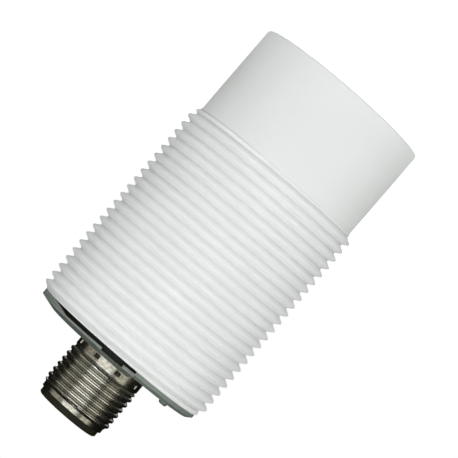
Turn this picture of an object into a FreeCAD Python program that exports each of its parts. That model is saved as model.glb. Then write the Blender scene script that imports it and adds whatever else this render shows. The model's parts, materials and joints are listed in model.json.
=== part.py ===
"""Capacitive proximity sensor: white plastic M30 barrel with an M12 plug connector on its rear cap.

The frame's origin is the centre of the sensing face, and +Z runs from there to the connector.
Lengths are in millimetres and angles in degrees. Heights are z values from the sensing face.
Both threads are drawn as plain cylinders of their major diameter with lead chamfers.
"""

import FreeCAD, Part
import os
import re
import Sketcher

# Driving dimensions
SIZES = {
    # Barrel
    "head_step": 1.0,
    "head_length": 15.0,
    "head_edge": 0.35,
    "barrel_radius": 15.0,
    "barrel_pitch": 1.5,
    "barrel_length": 49.05,
    "barrel_wall": 2.8,
    "front_wall": 1.6,
    # Share of the pitch that a metric thread is deep
    "thread_depth_share": 0.6134,
    "lead_angle": 45.0,
    # Rear cap
    "cap_step": 0.95,
    "cap_thickness": 1.05,
    "cap_edge_width": 0.75,
    "cap_edge_drop": 0.5,
    "cap_fit": 0.05,
    "spigot_length": 3.6,
    "spigot_wall": 1.35,
    "boss_wall": 1.45,
    "boss_length": 3.0,
    "tier_rise": 0.55,
    "tier_rim_rise": 0.9,
    "tier_slope": 2.3,
    "tier_half_angle": 104.9,
    # Slot and notch in the cap's rim, on the -Y side
    "slot_height": 0.65,
    "slot_narrowing": 0.2,
    "slot_depth": 0.85,
    "slot_left": 12.0,
    "slot_taper": 3.0,
    "slot_right": 3.6,
    "notch_left": 2.25,
    "notch_right": 1.57,
    "notch_height": 0.35,
    "notch_depth": 1.55,
    "notch_corner": 0.2,
    "gasket_tab_fit": 0.08,
    "gasket_tab_step": 0.2,
    # Connector sleeve
    "sleeve_radius": 5.9,
    "sleeve_pitch": 1.0,
    "sleeve_wall": 0.95,
    "sleeve_length": 9.35,
    "sleeve_fit": 0.05,
    "sleeve_flange_reach": 0.7,
    "sleeve_flange": 1.0,
    "collar_length": 1.65,
    "collar_step": 0.2,
    # Pockets round the collar, the first one turned from -X towards -Y
    "pocket_inset": 0.55,
    "pocket_height": 0.65,
    "pocket_width": 1.1,
    "pocket_depth": 0.3,
    "pocket_turn": 31.7,
    "relief_width": 0.3,
    "sleeve_end_step": 0.45,
    "sleeve_end_band": 0.8,
    "sleeve_seal_thickness": 0.5,
    "sleeve_seal_margin": 1.2,
    # Contact carrier and contacts
    "carrier_fit": 0.05,
    "carrier_wall": 0.55,
    "carrier_base": 6.4,
    "carrier_lip_reach": 0.25,
    "carrier_lip": 1.0,
    "carrier_lip_edge": 0.2,
    "key_width": 1.0,
    "key_height": 0.5,
    "key_angle": 45.0,
    "contact_radius": 0.5,
    "contact_circle": 2.75,
    "contact_setback": 1.6,
    "contact_tip": 0.25,
    "contact_collar_radius": 0.8,
    "contact_collar": 0.6,
    "contact_tail_radius": 0.35,
    "contact_tail_reach": 0.4,
    # Contact board, above the main board
    "contact_board_inset": 1.2,
    "contact_board_thickness": 1.2,
    "contact_board_drop": 2.8,
    # Sensitivity adjuster and its trimmer
    "adjuster_inset": 3.1,
    "adjuster_angle": 130.0,
    "adjuster_radius": 1.5,
    "adjuster_gap": 0.06,
    "adjuster_recess": 0.2,
    "adjuster_wall": 0.65,
    "adjuster_guide": 2.0,
    "adjuster_slot_width": 0.5,
    "adjuster_slot_depth": 0.6,
    "adjuster_groove_depth": 0.4,
    "adjuster_groove_start": 1.3,
    "adjuster_blade_width": 2.0,
    "adjuster_blade_gap": 0.1,
    "trimmer_side": 4.4,
    "trimmer_height": 2.0,
    "rotor_radius": 1.35,
    "rotor_gap": 0.06,
    "rotor_sunk": 0.8,
    "rotor_proud": 0.2,
    "rotor_slot_depth": 0.5,
    # Light guide and indicators
    "guide_inset": 2.75,
    "guide_radius": 0.7,
    "guide_proud": 0.95,
    "guide_dome": 0.35,
    "guide_fit": 0.04,
    "led_length": 1.6,
    "led_width": 1.25,
    "led_height": 0.8,
    "power_led_angle": 60.0,
    # Sensing electrodes and what holds them
    "electrode_thickness": 0.3,
    "electrode_gap": 1.5,
    "electrode_ring_width": 3.0,
    "electrode_ring_inset": 1.2,
    "electrode_board_thickness": 1.6,
    "electrode_fit": 0.15,
    "spacer_wall": 1.2,
    "spacer_length": 6.0,
    "spacer_lug_reach": 1.7,
    "spacer_lug_width": 4.4,
    # Main circuit board
    "board_inset": 1.7,
    "board_thickness": 1.6,
    "board_fit": 0.05,
    "board_setback": 1.0,
    "board_notch_width": 9.0,
    "board_tongue": 3.0,
    # Potting resin around the contact board
    "potting_below": 3.0,
    "potting_margin": 0.15,
    # Parts on the main board
    "can_length": 13.0,
    "can_width": 13.0,
    "can_height": 5.0,
    "can_sheet": 0.3,
    "can_setback": 1.5,
    "oscillator_length": 5.0,
    "oscillator_width": 4.0,
    "oscillator_height": 1.5,
    "output_length": 6.5,
    "output_width": 6.2,
    "output_height": 2.3,
    "output_setback": 5.3,
    "capacitor_length": 3.2,
    "capacitor_width": 1.6,
    "capacitor_height": 1.5,
    "capacitor_pitch": 3.5,
    "capacitor_setback": 0.6,
    "capacitor_inset": 2.5,
    "resistor_length": 1.6,
    "resistor_width": 0.8,
    "resistor_height": 0.45,
    "resistor_pitch": 2.2,
    "resistor_setback": 2.5,
    "resistor_gap": 1.5,
}

# Dimensions that follow from the driving ones
DERIVED = {
    "head_radius": "barrel_radius - head_step",
    "bore_radius": "barrel_radius - barrel_wall",
    "cap_radius": "barrel_radius - cap_step",
    "barrel_lead": "barrel_pitch * thread_depth_share",
    "barrel_lead_height": "barrel_lead * tan(lead_angle)",
    "cap_face": "barrel_length + cap_thickness",
    "tier_rim": "barrel_length + tier_rim_rise",
    "tier_face": "cap_face + tier_rise",
    "tier_top_radius": "cap_radius - tier_slope",
    "spigot_radius": "bore_radius - cap_fit",
    "spigot_inner": "spigot_radius - spigot_wall",
    "spigot_end": "barrel_length - spigot_length",
    "sleeve_bore": "sleeve_radius - sleeve_wall",
    "sleeve_flange_radius": "sleeve_radius + sleeve_flange_reach",
    "sleeve_end_radius": "sleeve_radius - sleeve_end_step",
    "cap_hole": "sleeve_radius + sleeve_fit",
    "boss_radius": "cap_hole + boss_wall",
    "boss_end": "barrel_length - boss_length",
    "gasket_radius": "cap_radius - slot_depth",
    "slot_top": "barrel_length + slot_height",
    "notch_top": "slot_top + notch_height",
    "notch_wall": "cap_radius - notch_depth",
    "sleeve_end": "tier_face + sleeve_length",
    "sleeve_start": "boss_end - sleeve_flange",
    "collar_end": "tier_face + collar_length",
    "pocket_start": "tier_face + pocket_inset",
    "collar_radius": "sleeve_radius - collar_step",
    "pocket_floor": "collar_radius - pocket_depth",
    "sleeve_root": "sleeve_radius - sleeve_pitch * thread_depth_share",
    "relief_end": "collar_end + relief_width",
    "band_start": "sleeve_end - sleeve_end_band",
    "band_lead": "(sleeve_radius - sleeve_end_radius) * tan(lead_angle)",
    "seal_start": "boss_end + sleeve_seal_margin",
    "seal_end": "seal_start + 2 * sleeve_seal_thickness",
    "seal_floor": "cap_hole - sleeve_seal_thickness",
    "carrier_radius": "sleeve_bore - carrier_fit",
    "carrier_inner": "carrier_radius - carrier_wall",
    "carrier_lip_radius": "carrier_radius + carrier_lip_reach",
    "carrier_start": "sleeve_start",
    "carrier_floor": "carrier_start + carrier_base",
    "carrier_end": "sleeve_end + carrier_lip",
    "contact_end": "carrier_end - contact_setback",
    "contact_collar_start": "carrier_start - contact_collar",
    "contact_board_end": "contact_collar_start - contact_board_drop + contact_board_thickness",
    "contact_board_start": "contact_board_end - contact_board_thickness",
    "contact_board_radius": "bore_radius - contact_board_inset",
    "tail_end": "contact_board_start - contact_tail_reach",
    "adjuster_circle": "bore_radius - adjuster_inset",
    "adjuster_hole": "adjuster_radius + adjuster_gap",
    "adjuster_boss": "adjuster_hole + adjuster_wall",
    "adjuster_top": "cap_face - adjuster_recess",
    "adjuster_bottom": "barrel_length - adjuster_guide - adjuster_slot_depth",
    "adjuster_neck": "adjuster_radius - adjuster_groove_depth",
    "adjuster_groove_top": "adjuster_top - adjuster_groove_start",
    "adjuster_groove_bottom": "adjuster_groove_top - 2 * adjuster_groove_depth",
    "trimmer_top": "contact_board_end + trimmer_height",
    "rotor_floor": "trimmer_top - rotor_sunk",
    "rotor_top": "trimmer_top + rotor_proud",
    "rotor_slot_floor": "rotor_top - rotor_slot_depth",
    "blade_end": "rotor_slot_floor + adjuster_blade_gap",
    "blade_thickness": "adjuster_slot_width - adjuster_blade_gap",
    "guide_circle": "bore_radius - guide_inset",
    "guide_start": "contact_board_end + led_height",
    "guide_end": "cap_face + guide_proud",
    "guide_hole": "guide_radius + guide_fit",
    "electrode_back": "front_wall + electrode_thickness",
    "electrode_ring_radius": "bore_radius - electrode_ring_inset",
    "electrode_ring_inner": "electrode_ring_radius - electrode_ring_width",
    "electrode_radius": "electrode_ring_inner - electrode_gap",
    "electrode_board_back": "electrode_back + electrode_board_thickness",
    "electrode_board_radius": "bore_radius - electrode_fit",
    "spacer_inner": "electrode_board_radius - spacer_wall",
    "spacer_end": "electrode_board_back + spacer_length",
    "board_half_width": "bore_radius - board_inset",
    "board_half_thickness": "board_thickness / 2",
    "board_shoulder": "contact_board_start",
    "board_notch_floor": "board_shoulder - board_setback",
    "board_notch_half": "board_notch_width / 2",
    "tongue_outer": "board_notch_half + board_tongue",
    "potting_start": "contact_board_start - potting_below",
    "potting_end": "rotor_floor - rotor_gap - potting_margin",
    "can_start": "spacer_end + can_setback",
    "oscillator_start": "can_start + (can_length - oscillator_length) / 2",
    "output_start": "potting_start - output_setback - output_length",
    "capacitor_end": "potting_start - capacitor_setback",
    "capacitor_side": "board_half_width - capacitor_inset",
    "resistor_start": "spacer_end + resistor_setback",
    "resistor_side": "(output_width + resistor_width) / 2 + resistor_gap",
}

DEGREES_PER_CONTACT = 90
CONTACTS = 4
COLLAR_POCKETS = 9
DEGREES_PER_POCKET = 360 / COLLAR_POCKETS
CAPACITORS = 4
RESISTORS = 6
# A cutter reaches this far outside what it cuts
CLEAR = 1.0
# Lengths closer than this are the same length
SAME = 1e-6
AXIS_Z = FreeCAD.Vector(0, 0, 1)
FUNCTIONS = ("tan", "sin", "cos")

document = FreeCAD.newDocument("capacitive_sensor")
sheet = document.addObject("Spreadsheet::Sheet", "Sizes")


def fill_sheet():
    """Writes every driving and derived dimension in its own row, under its alias."""
    rows = [(name, str(value)) for name, value in SIZES.items()]
    rows += [(name, "=" + formula) for name, formula in DERIVED.items()]
    for row, (name, content) in enumerate(rows, start=1):
        sheet.set(f"A{row}", name)
        sheet.set(f"B{row}", content)
        sheet.setAlias(f"B{row}", name)
    document.recompute()


def reference(text):
    """The expression with each alias named as a cell of the sheet."""
    return re.sub(
        r"[a-z][a-z_]*",
        lambda word: word.group() if word.group() in FUNCTIONS else "Sizes." + word.group(),
        str(text),
    )


def number(text):
    """What an expression of the sheet is worth now."""
    return float(sheet.evalExpression(str(text)))


def bind(item, path, text):
    """Ties one property of an object to the sheet."""
    item.setExpression(path, reference(text))


def new_body(label):
    """A PartDesign body with the node's label."""
    body = document.addObject("PartDesign::Body", label)
    body.Label = label
    document.recompute()
    return body


def new_sketch(body, name, plane="XZ_Plane", height=None):
    """A sketch on one of the body's own origin planes, lifted along its normal if height is given."""
    sketch = body.newObject("Sketcher::SketchObject", body.Name + "_" + name)
    origin_plane = next(part for part in body.Origin.OriginFeatures if part.Role == plane)
    sketch.AttachmentSupport = [(origin_plane, "")]
    sketch.MapMode = "FlatFace"
    if height is not None:
        bind(sketch, ".AttachmentOffset.Base.z", height)
    return sketch


def hold_point(sketch, edge, end, corner):
    """Keeps one end of an edge at its place, each coordinate bound to the sheet."""
    for kind, text, own_axis in (("DistanceX", corner[0], -2), ("DistanceY", corner[1], -1)):
        if number(text) == 0:
            sketch.addConstraint(Sketcher.Constraint("PointOnObject", edge, end, own_axis))
            continue
        index = sketch.addConstraint(Sketcher.Constraint(kind, edge, end, number(text)))
        name = f"{kind}_{edge}_{end}"
        sketch.renameConstraint(index, name)
        bind(sketch, "Constraints." + name, text)


def draw_outline(sketch, corners):
    """Closes straight edges through the corners, given as pairs of expressions."""
    points = [FreeCAD.Vector(number(x), number(y), 0) for x, y in corners]
    first = sketch.GeometryCount
    count = len(corners)
    for index in range(count):
        line = Part.LineSegment(points[index], points[(index + 1) % count])
        sketch.addGeometry(line, False)
    for index in range(count):
        following = first + (index + 1) % count
        sketch.addConstraint(Sketcher.Constraint("Coincident", first + index, 2, following, 1))
    for index, corner in enumerate(corners):
        hold_point(sketch, first + index, 1, corner)


def draw_rectangle(sketch, left, bottom, right, top):
    """An upright rectangle between two corners."""
    draw_outline(sketch, [(left, bottom), (right, bottom), (right, top), (left, top)])


def draw_circle(sketch, centre, radius):
    """A circle with its centre and radius bound to the sheet."""
    middle = FreeCAD.Vector(number(centre[0]), number(centre[1]), 0)
    index = sketch.addGeometry(Part.Circle(middle, AXIS_Z, number(radius)), False)
    if number(centre[0]) == 0 and number(centre[1]) == 0:
        sketch.addConstraint(Sketcher.Constraint("Coincident", index, 3, -1, 1))
    else:
        hold_point(sketch, index, 3, centre)
    constraint = sketch.addConstraint(Sketcher.Constraint("Radius", index, number(radius)))
    sketch.renameConstraint(constraint, f"radius_{index}")
    bind(sketch, f"Constraints.radius_{index}", radius)


def turn(body, name, corners, angle=None):
    """Revolves a half section of radius and height pairs about Z, or by an angle centred on +X."""
    sketch = new_sketch(body, name + "_section")
    draw_outline(sketch, corners)
    feature = body.newObject("PartDesign::Revolution", body.Name + "_" + name)
    feature.Profile = sketch
    feature.ReferenceAxis = (sketch, ["V_Axis"])
    if angle is None:
        feature.Angle = 360
    else:
        feature.Midplane = True
        bind(feature, "Angle", angle)
    document.recompute()
    return feature


def turn_away(body, name, corners):
    """Cuts a full groove of the given half section about Z."""
    sketch = new_sketch(body, name + "_section")
    draw_outline(sketch, corners)
    before = body.Shape.Volume
    feature = body.newObject("PartDesign::Groove", body.Name + "_" + name)
    feature.Profile = sketch
    feature.ReferenceAxis = (sketch, ["V_Axis"])
    feature.Angle = 360
    document.recompute()
    must_cut(body, feature, before)
    return feature


def pad(body, name, sketch, length, both_ways=False):
    """Raises a sketch along its normal by a length of the sheet."""
    feature = body.newObject("PartDesign::Pad", body.Name + "_" + name)
    feature.Profile = sketch
    feature.Midplane = both_ways
    bind(feature, "Length", length)
    document.recompute()
    return feature


def pocket(body, name, sketch, length, both_ways=False, upwards=False):
    """Cuts a sketch into the body by a length of the sheet, and makes sure that it cut."""
    before = body.Shape.Volume
    feature = body.newObject("PartDesign::Pocket", body.Name + "_" + name)
    feature.Profile = sketch
    feature.Midplane = both_ways
    feature.Reversed = upwards
    bind(feature, "Length", length)
    document.recompute()
    must_cut(body, feature, before)
    return feature


def must_cut(body, feature, before):
    """Stops where a cut removed nothing."""
    if not body.Shape.Volume < before:
        raise RuntimeError(f"{feature.Name} removed nothing from {body.Label}")


def edges_where(feature, wanted):
    """Names of the feature's edges that the test picks."""
    return [f"Edge{index}" for index, edge in enumerate(feature.Shape.Edges, start=1) if wanted(edge)]


def is_rim(edge, radius, height):
    """Whether an edge is a circle of that radius at that height."""
    box = edge.BoundBox
    flat = abs(box.ZMin - height) < SAME and abs(box.ZMax - height) < SAME
    return flat and hasattr(edge.Curve, "Radius") and abs(edge.Curve.Radius - radius) < SAME


def round_rim(body, feature, radius, height, size):
    """Rounds the circular edge of a radius and height."""
    names = edges_where(feature, lambda edge: is_rim(edge, number(radius), number(height)))
    fillet = body.newObject("PartDesign::Fillet", body.Name + "_rounded_rim")
    fillet.Base = (feature, names)
    bind(fillet, "Radius", size)
    document.recompute()
    return fillet


def block(label, length, width, height, x, y, z):
    """A box with its sizes along X, Y and Z, and its lowest corner, bound to the sheet."""
    box = document.addObject("Part::Box", label)
    box.Label = label
    for path, text in (("Length", length), ("Width", width), ("Height", height)):
        bind(box, path, text)
    for path, text in (("x", x), ("y", y), ("z", z)):
        bind(box, ".Placement.Base." + path, text)
    return box


def cut_from(label, base, tool):
    """The base less the tool, as a node of that label."""
    result = document.addObject("Part::Cut", label)
    result.Label = label
    result.Base = base
    result.Tool = tool
    document.recompute()
    return result


def gather(label, items):
    """Several alike solids kept as one node."""
    group = document.addObject("Part::Compound", label)
    group.Label = label
    group.Links = items
    document.recompute()
    return group


# Barrel
def make_housing():
    """One turned cup: smooth sensing head in front, threaded barrel behind, bore open to the rear."""
    body = new_body("housing")
    cup = turn(
        body,
        "cup",
        [
            ("0", "0"),
            ("head_radius", "0"),
            ("head_radius", "head_length"),
            ("barrel_radius - barrel_lead", "head_length"),
            ("barrel_radius", "head_length + barrel_lead_height"),
            ("barrel_radius", "barrel_length - barrel_lead_height"),
            ("barrel_radius - barrel_lead", "barrel_length"),
            ("bore_radius", "barrel_length"),
            ("bore_radius", "front_wall"),
            ("0", "front_wall"),
        ],
    )
    round_rim(body, cup, "head_radius", "0", "head_edge")
    return body


# Rear cap
def make_rear_cap():
    """Moulded cap: flange, raised tier on the +X side, spigot, and bosses for sleeve and adjuster."""
    body = new_body("cap_blank")
    turn(
        body,
        "flange",
        [
            ("cap_hole", "cap_face"),
            ("cap_radius - cap_edge_width", "cap_face"),
            ("cap_radius", "cap_face - cap_edge_drop"),
            ("cap_radius", "barrel_length"),
            ("gasket_radius", "barrel_length"),
            ("gasket_radius", "slot_top"),
            ("spigot_radius", "slot_top"),
            ("spigot_radius", "spigot_end"),
            ("spigot_inner", "spigot_end"),
            ("spigot_inner", "barrel_length"),
            ("boss_radius", "barrel_length"),
            ("boss_radius", "boss_end"),
            ("cap_hole", "boss_end"),
        ],
    )
    turn(
        body,
        "tier",
        [
            ("cap_hole", "slot_top"),
            ("cap_radius", "slot_top"),
            ("cap_radius", "tier_rim"),
            ("tier_top_radius", "tier_face"),
            ("cap_hole", "tier_face"),
        ],
        angle="2 * tier_half_angle",
    )
    add_adjuster_bush(body)
    guide_hole = new_sketch(body, "guide_hole", "XY_Plane", "cap_face")
    draw_circle(guide_hole, ("-guide_circle", "0"), "guide_hole")
    pocket(body, "guide_cut", guide_hole, "2 * cap_thickness")
    cut_notch(body)
    return cut_from("rear_cap", body, make_slot_cutter())


def add_adjuster_bush(body):
    """A short bush under the flange that guides the adjuster, bored through the flange."""
    centre = (
        "adjuster_circle * cos(adjuster_angle)",
        "adjuster_circle * sin(adjuster_angle)",
    )
    bush = new_sketch(body, "bush", "XY_Plane", "barrel_length - adjuster_guide")
    draw_circle(bush, centre, "adjuster_boss")
    pad(body, "bush_pad", bush, "adjuster_guide + cap_thickness / 2")
    bore = new_sketch(body, "bush_bore", "XY_Plane", "cap_face")
    draw_circle(bore, centre, "adjuster_hole")
    pocket(body, "bush_cut", bore, "cap_thickness + boss_length")


def cut_notch(body):
    """The notch in the tier's rim, over the slot, with rounded corners at its top."""
    sketch = new_sketch(body, "notch", "XZ_Plane", "notch_wall")
    draw_rectangle(sketch, "-notch_right", "barrel_length", "notch_left", "notch_top")
    feature = pocket(body, "notch_cut", sketch, "cap_radius", upwards=True)
    top = number("notch_top")
    sides = (number("notch_left"), -number("notch_right"))
    names = edges_where(
        feature,
        lambda edge: any(
            abs(vertex.Z - top) < SAME and abs(vertex.X - side) < SAME
            for vertex in edge.Vertexes
            for side in sides
        )
        and edge.BoundBox.XLength < SAME
        and edge.BoundBox.ZLength < SAME,
    )
    if names:
        corners = body.newObject("PartDesign::Fillet", body.Name + "_notch_corners")
        corners.Base = (feature, names)
        bind(corners, "Radius", "notch_corner")
        document.recompute()


def make_slot_cutter():
    """The crescent slot under the rim: a ring, kept only where the slot's front outline is."""
    ring = new_body("slot_ring")
    turn(
        ring,
        "ring",
        [
            ("gasket_radius", "barrel_length"),
            (f"cap_radius + {CLEAR}", "barrel_length"),
            (f"cap_radius + {CLEAR}", "slot_top"),
            ("gasket_radius", "slot_top"),
        ],
    )
    outline = new_body("slot_outline")
    sketch = new_sketch(outline, "front")
    draw_outline(
        sketch,
        [
            ("-slot_right", "barrel_length"),
            ("slot_left", "barrel_length"),
            ("slot_left - slot_taper", "slot_top"),
            ("-slot_right", "slot_top - slot_narrowing"),
        ],
    )
    pad(outline, "front_pad", sketch, f"cap_radius + {CLEAR}")
    cutter = document.addObject("Part::Common", "slot_cutter")
    cutter.Base = ring
    cutter.Tool = outline
    document.recompute()
    return cutter


def make_cap_gasket():
    """Flat rubber ring against the housing's rear end, with a tab that stands in the cap's notch."""
    body = new_body("cap_gasket")
    turn(
        body,
        "ring",
        [
            ("spigot_radius", "barrel_length"),
            ("gasket_radius", "barrel_length"),
            ("gasket_radius", "slot_top"),
            ("spigot_radius", "slot_top"),
        ],
    )
    tab = new_sketch(body, "tab", "XY_Plane", "barrel_length")
    draw_rectangle(
        tab,
        "gasket_tab_fit - notch_right",
        "gasket_tab_step - gasket_radius",
        "notch_left - gasket_tab_fit",
        "-(notch_wall + gasket_tab_fit)",
    )
    pad(body, "tab_pad", tab, "notch_top - gasket_tab_fit - barrel_length")
    return body


# Connector
def make_connector_sleeve():
    """Turned sleeve: flange inside the cap, seal groove, pocketed collar, thread, band and bore."""
    body = new_body("sleeve_blank")
    turn(
        body,
        "sleeve",
        [
            ("sleeve_bore", "sleeve_start"),
            ("sleeve_flange_radius", "sleeve_start"),
            ("sleeve_flange_radius", "boss_end"),
            ("sleeve_radius", "boss_end"),
            ("sleeve_radius", "barrel_length"),
            ("collar_radius", "barrel_length"),
            ("collar_radius", "collar_end"),
            ("sleeve_root", "collar_end"),
            ("sleeve_root", "relief_end"),
            ("sleeve_radius", "relief_end"),
            ("sleeve_radius", "band_start - band_lead"),
            ("sleeve_end_radius", "band_start"),
            ("sleeve_end_radius", "sleeve_end"),
            ("sleeve_bore", "sleeve_end"),
        ],
    )
    turn_away(
        body,
        "seal_groove",
        [
            ("seal_floor", "seal_start"),
            ("cap_hole", "seal_start"),
            ("cap_hole", "seal_end"),
            ("seal_floor", "seal_end"),
        ],
    )
    return cut_from("connector_sleeve", body, gather("collar_pockets", make_pocket_cutters()))


def make_pocket_cutters():
    """One block for each pocket round the sleeve's collar."""
    cutters = []
    for index in range(COLLAR_POCKETS):
        angle = f"(pocket_turn - 180 + {index * DEGREES_PER_POCKET})"
        cutter = block(
            f"collar_pocket_{index + 1}",
            "pocket_depth + sleeve_fit",
            "pocket_width",
            "pocket_height",
            f"pocket_floor * cos({angle}) + pocket_width / 2 * sin({angle})",
            f"pocket_floor * sin({angle}) - pocket_width / 2 * cos({angle})",
            "pocket_start",
        )
        bind(cutter, ".Placement.Rotation.Yaw", angle)
        cutters.append(cutter)
    return cutters


def make_ring_seal(label, middle_radius, height, thickness):
    """An O-ring about Z: thickness is the radius of its round section."""
    ring = document.addObject("Part::Torus", label)
    ring.Label = label
    bind(ring, "Radius1", middle_radius)
    bind(ring, "Radius2", thickness)
    bind(ring, ".Placement.Base.z", height)
    document.recompute()
    return ring


def make_contact_carrier():
    """Plastic insert: solid base with four contact holes, open cup, key rib and outer lip."""
    body = new_body("contact_carrier")
    turn(
        body,
        "insert",
        [
            ("0", "carrier_start"),
            ("carrier_radius", "carrier_start"),
            ("carrier_radius", "sleeve_end"),
            ("carrier_lip_radius", "sleeve_end"),
            ("carrier_lip_radius", "carrier_end - carrier_lip_edge"),
            ("carrier_lip_radius - carrier_lip_edge", "carrier_end"),
            ("carrier_inner", "carrier_end"),
            ("carrier_inner", "carrier_floor"),
            ("0", "carrier_floor"),
        ],
    )
    key = new_sketch(body, "key", "XY_Plane", "carrier_floor")
    bind(key, ".AttachmentOffset.Rotation.Yaw", "key_angle")
    draw_rectangle(
        key,
        "carrier_inner - key_height",
        "-key_width / 2",
        "carrier_inner + carrier_wall / 2",
        "key_width / 2",
    )
    pad(body, "key_pad", key, "sleeve_end - carrier_floor")
    holes = new_sketch(body, "holes", "XY_Plane", "carrier_floor")
    for index in range(CONTACTS):
        draw_circle(holes, contact_centre(index), "contact_radius")
    pocket(body, "holes_cut", holes, "carrier_base")
    return body


def contact_centre(index):
    """Where one contact stands, as a pair of expressions."""
    angle = index * DEGREES_PER_CONTACT
    return f"contact_circle * cos({angle})", f"contact_circle * sin({angle})"


def make_contact(index):
    """A turned contact: domed pin, collar under the carrier, thinner tail through its board."""
    body = new_body(f"contact_pin_{index + 1}")
    turn(
        body,
        "pin",
        [
            ("0", "tail_end"),
            ("contact_tail_radius", "tail_end"),
            ("contact_tail_radius", "contact_collar_start"),
            ("contact_collar_radius", "contact_collar_start"),
            ("contact_collar_radius", "carrier_start"),
            ("contact_radius", "carrier_start"),
            ("contact_radius", "contact_end - contact_tip"),
            ("contact_radius - contact_tip", "contact_end"),
            ("0", "contact_end"),
        ],
    )
    x, y = contact_centre(index)
    bind(body, ".Placement.Base.x", x)
    bind(body, ".Placement.Base.y", y)
    return body


# Circuit boards
def make_contact_board():
    """Round board that carries the contacts' tails, with two slots for the main board's tongues."""
    body = new_body("contact_board")
    disc = new_sketch(body, "disc", "XY_Plane", "contact_board_start")
    draw_circle(disc, ("0", "0"), "contact_board_radius")
    pad(body, "disc_pad", disc, "contact_board_thickness")
    holes = new_sketch(body, "holes", "XY_Plane", "contact_board_end")
    for index in range(CONTACTS):
        draw_circle(holes, contact_centre(index), "contact_tail_radius")
    draw_rectangle(
        holes, "board_notch_half", "-board_half_thickness", "tongue_outer", "board_half_thickness"
    )
    draw_rectangle(
        holes, "-tongue_outer", "-board_half_thickness", "-board_notch_half", "board_half_thickness"
    )
    pocket(body, "holes_cut", holes, "contact_board_thickness")
    return body


def make_circuit_board():
    """Main board along the axis, from the electrode board to two tongues in the contact board."""
    body = new_body("circuit_board")
    outline = new_sketch(body, "outline")
    draw_outline(
        outline,
        [
            ("-board_half_width", "electrode_board_back"),
            ("board_half_width", "electrode_board_back"),
            ("board_half_width", "board_shoulder"),
            ("tongue_outer", "board_shoulder"),
            ("tongue_outer", "contact_board_end"),
            ("board_notch_half", "contact_board_end"),
            ("board_notch_half", "board_notch_floor"),
            ("-board_notch_half", "board_notch_floor"),
            ("-board_notch_half", "contact_board_end"),
            ("-tongue_outer", "contact_board_end"),
            ("-tongue_outer", "board_shoulder"),
            ("-board_half_width", "board_shoulder"),
        ],
    )
    pad(body, "outline_pad", outline, "board_thickness", both_ways=True)
    return body


def make_potting(embedded):
    """Resin plug that fills the bore round the contact board and what stands on it."""
    plug = document.addObject("Part::Cylinder", "potting_blank")
    bind(plug, "Radius", "bore_radius")
    bind(plug, "Height", "potting_end - potting_start")
    bind(plug, ".Placement.Base.z", "potting_start")
    inside = document.addObject("Part::MultiFuse", "potting_inside")
    inside.Shapes = embedded
    return cut_from("potting_plug", plug, inside)


# Sensitivity adjuster, in a frame of its own whose X axis points at the adjuster
def make_adjuster_screw():
    """Turned screw: slotted head, seal groove, and a blade that turns the trimmer's rotor."""
    body = new_body("adjuster_screw")
    turn(
        body,
        "shank",
        [
            ("0", "adjuster_bottom"),
            ("adjuster_radius", "adjuster_bottom"),
            ("adjuster_radius", "adjuster_groove_bottom"),
            ("adjuster_neck", "adjuster_groove_bottom"),
            ("adjuster_neck", "adjuster_groove_top"),
            ("adjuster_radius", "adjuster_groove_top"),
            ("adjuster_radius", "adjuster_top"),
            ("0", "adjuster_top"),
        ],
    )
    slot = new_sketch(body, "slot", "XY_Plane", "adjuster_top")
    draw_rectangle(
        slot,
        "-2 * adjuster_radius",
        "-adjuster_slot_width / 2",
        "2 * adjuster_radius",
        "adjuster_slot_width / 2",
    )
    pocket(body, "slot_cut", slot, "adjuster_slot_depth")
    blade = new_sketch(body, "blade", "XY_Plane", "blade_end")
    draw_rectangle(
        blade,
        "-adjuster_blade_width / 2",
        "-blade_thickness / 2",
        "adjuster_blade_width / 2",
        "blade_thickness / 2",
    )
    pad(body, "blade_pad", blade, "adjuster_bottom - blade_end")
    seat_at_adjuster(body)
    return body


def seat_at_adjuster(item):
    """Moves a piece made about Z onto the adjuster's axis, turned to face the frame's axis."""
    bind(item, ".Placement.Base.x", "adjuster_circle * cos(adjuster_angle)")
    bind(item, ".Placement.Base.y", "adjuster_circle * sin(adjuster_angle)")
    bind(item, ".Placement.Rotation.Yaw", "adjuster_angle")


def make_adjuster_seal():
    """O-ring in the adjuster's groove."""
    ring = document.addObject("Part::Torus", "adjuster_seal")
    ring.Label = "adjuster_seal"
    bind(ring, "Radius1", "adjuster_radius - adjuster_groove_depth / 2")
    bind(ring, "Radius2", "adjuster_groove_depth / 2")
    seat_at_adjuster(ring)
    bind(ring, ".Placement.Base.z", "(adjuster_groove_top + adjuster_groove_bottom) / 2")
    document.recompute()
    return ring


def make_trimmer_body():
    """Square trimmer case on the contact board, with a round well for its rotor."""
    body = new_body("trimmer_body")
    case = new_sketch(body, "case", "XY_Plane", "contact_board_end")
    draw_rectangle(
        case, "-trimmer_side / 2", "-trimmer_side / 2", "trimmer_side / 2", "trimmer_side / 2"
    )
    pad(body, "case_pad", case, "trimmer_height")
    well = new_sketch(body, "well", "XY_Plane", "trimmer_top")
    draw_circle(well, ("0", "0"), "rotor_radius + rotor_gap")
    pocket(body, "well_cut", well, "rotor_sunk + rotor_gap")
    seat_at_adjuster(body)
    return body


def make_trimmer_rotor():
    """Slotted rotor in the trimmer's well."""
    body = new_body("trimmer_rotor")
    disc = new_sketch(body, "disc", "XY_Plane", "rotor_floor")
    draw_circle(disc, ("0", "0"), "rotor_radius")
    pad(body, "disc_pad", disc, "rotor_top - rotor_floor")
    slot = new_sketch(body, "slot", "XY_Plane", "rotor_top")
    draw_rectangle(
        slot,
        "-adjuster_blade_width / 2",
        "-adjuster_slot_width / 2",
        "adjuster_blade_width / 2",
        "adjuster_slot_width / 2",
    )
    pocket(body, "slot_cut", slot, "rotor_slot_depth")
    seat_at_adjuster(body)
    return body


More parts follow.
